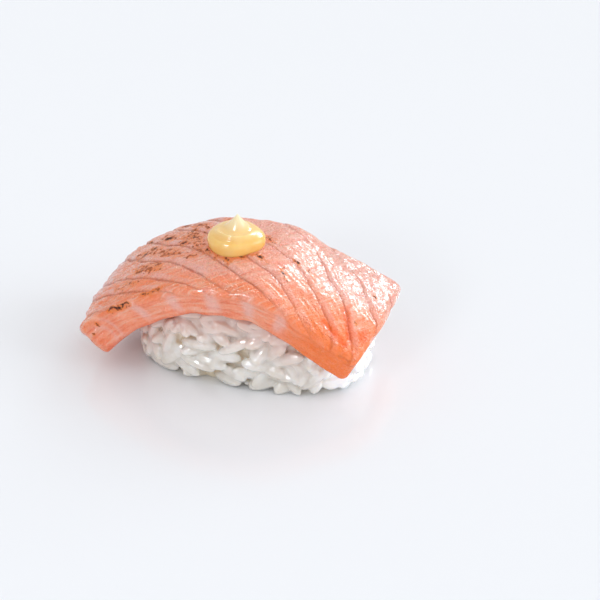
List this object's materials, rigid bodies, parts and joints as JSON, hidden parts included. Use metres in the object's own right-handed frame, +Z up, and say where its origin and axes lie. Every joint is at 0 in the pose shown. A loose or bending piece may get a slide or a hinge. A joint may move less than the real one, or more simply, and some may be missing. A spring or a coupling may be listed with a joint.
{
  "type": "seared salmon nigiri",
  "caption": "Seared salmon nigiri: a pressed loaf of sushi rice under a thick draped slice of salmon with flake seams, topped by a dollop of egg-yolk sauce with a drawn-up tip.",
  "frame": {"origin": "middle of the rice's flat base", "axes": "+X along the slice towards its lower right end, +Y to the back, +Z up"},
  "size_m": [0.0695, 0.0311, 0.0353],
  "materials": {
    "rice": "moist translucent white rice grains",
    "salmon": "wet pinkish orange fish with pale fat bands and brown scorch marks",
    "sauce": "glossy pale custard yellow"
  },
  "bodies": {
    "root": {"rice": "rice", "salmon": "salmon", "sauce": "sauce"}
  },
  "joints": []
}
